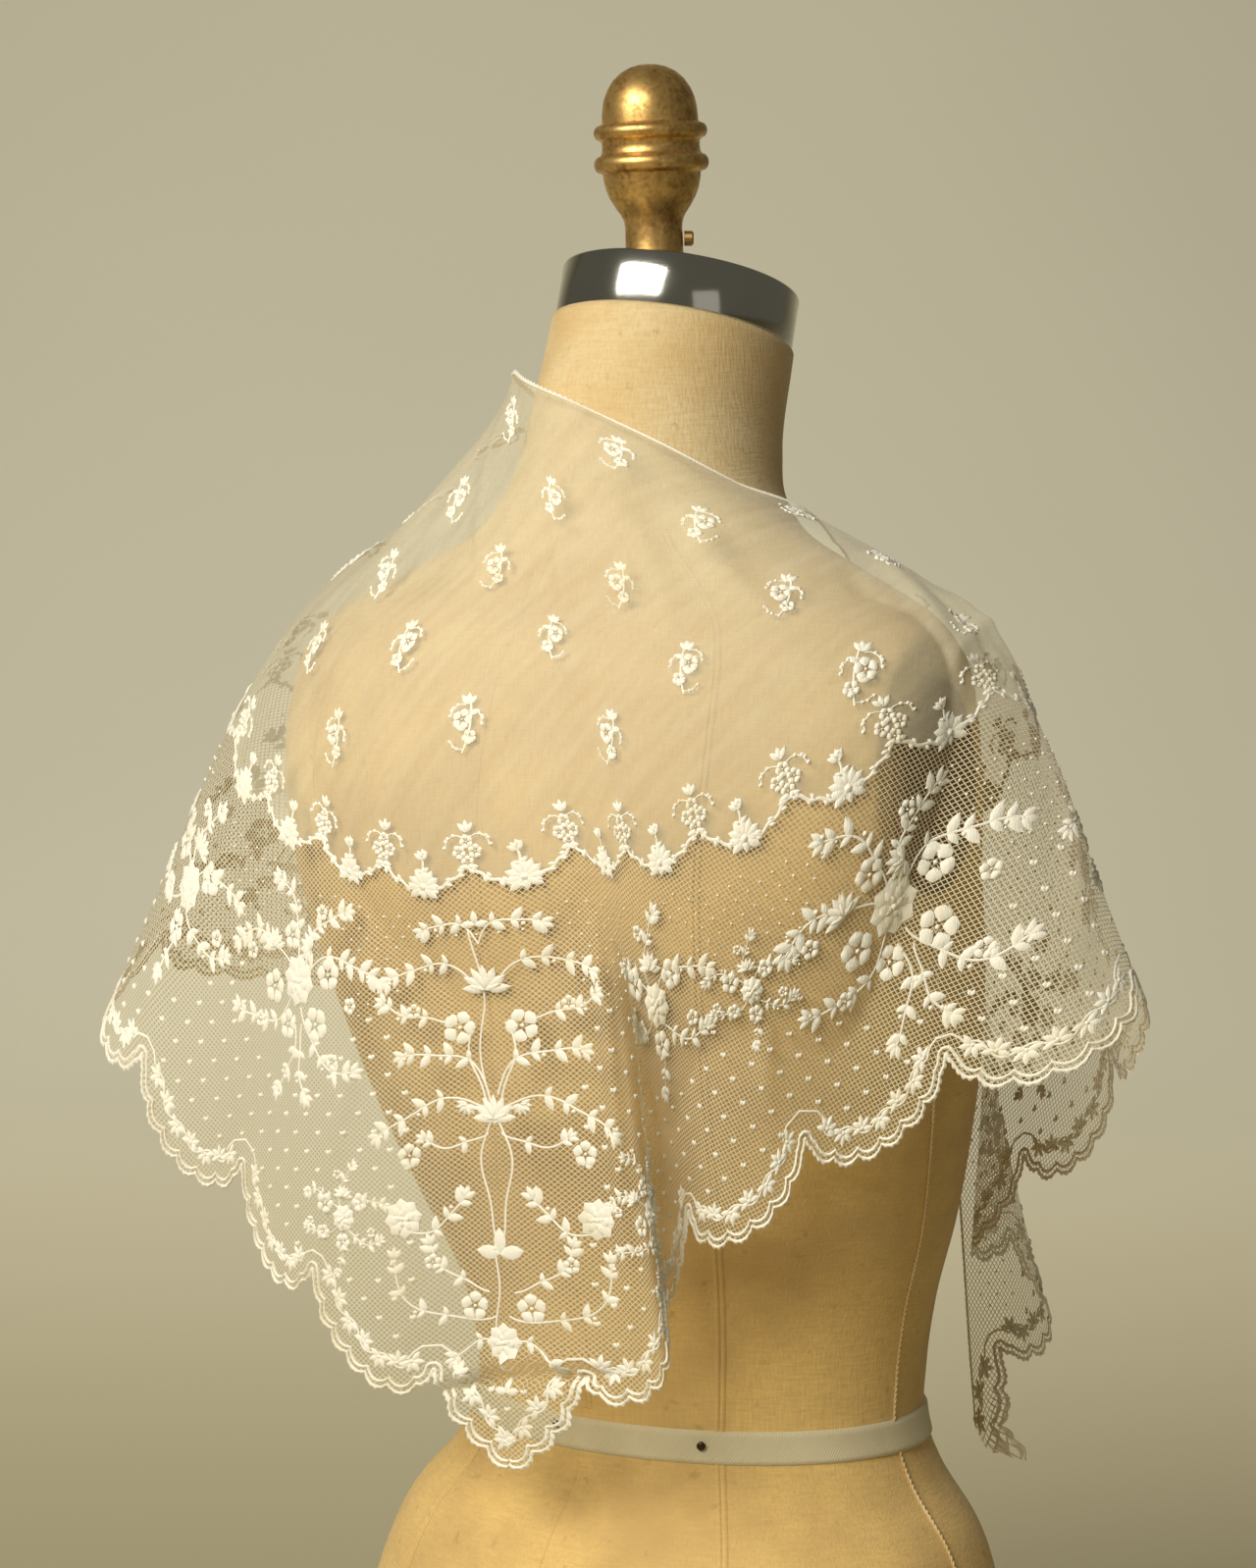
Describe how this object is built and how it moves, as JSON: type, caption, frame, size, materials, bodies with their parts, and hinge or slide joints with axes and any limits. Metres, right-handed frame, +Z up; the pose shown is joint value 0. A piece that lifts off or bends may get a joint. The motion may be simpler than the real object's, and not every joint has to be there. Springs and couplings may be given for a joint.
{
  "type": "lace kerchief on a limbless dress form",
  "caption": "Sheer woven kerchief with a deep scalloped net border, worn over the shoulders of a limbless canvas dress form with a steel neck band and a turned finial.",
  "frame": {"origin": "on the underside of the form's wooden base board, below the middle of the waist", "axes": "+Z up, -Y the way the form faces, +X to the form's own left"},
  "size_m": [0.498, 0.3026, 0.8755],
  "materials": {
    "mull": "sheer plain-woven cotton mull, embroidered with sprigs",
    "net": "fine cotton net, embroidered with flowers, dots and a scalloped hem",
    "corded_edging": "narrow corded cotton edging",
    "canvas": "tan linen canvas, seamed and aged",
    "arm_plate": "covered board",
    "steel": "polished",
    "gilt": "gilt bronze paint with a dark mottled patina",
    "tape": "ivory cotton twill tape",
    "pin": "darkened steel",
    "wood": "satin brown board"
  },
  "bodies": {
    "root": {"kerchief_field": "mull", "kerchief_border_left": "net", "kerchief_border_right": "net", "kerchief_neck_edging": "corded_edging", "form_torso": "canvas", "form_base": "wood", "form_neck_band": "steel", "form_finial": "gilt", "form_set_screw": "gilt", "form_waist_tape": "tape", "form_pin_back": "pin", "form_pin_left_back": "pin", "form_arm_plate_left": "arm_plate", "form_arm_plate_right": "arm_plate"}
  },
  "joints": []
}
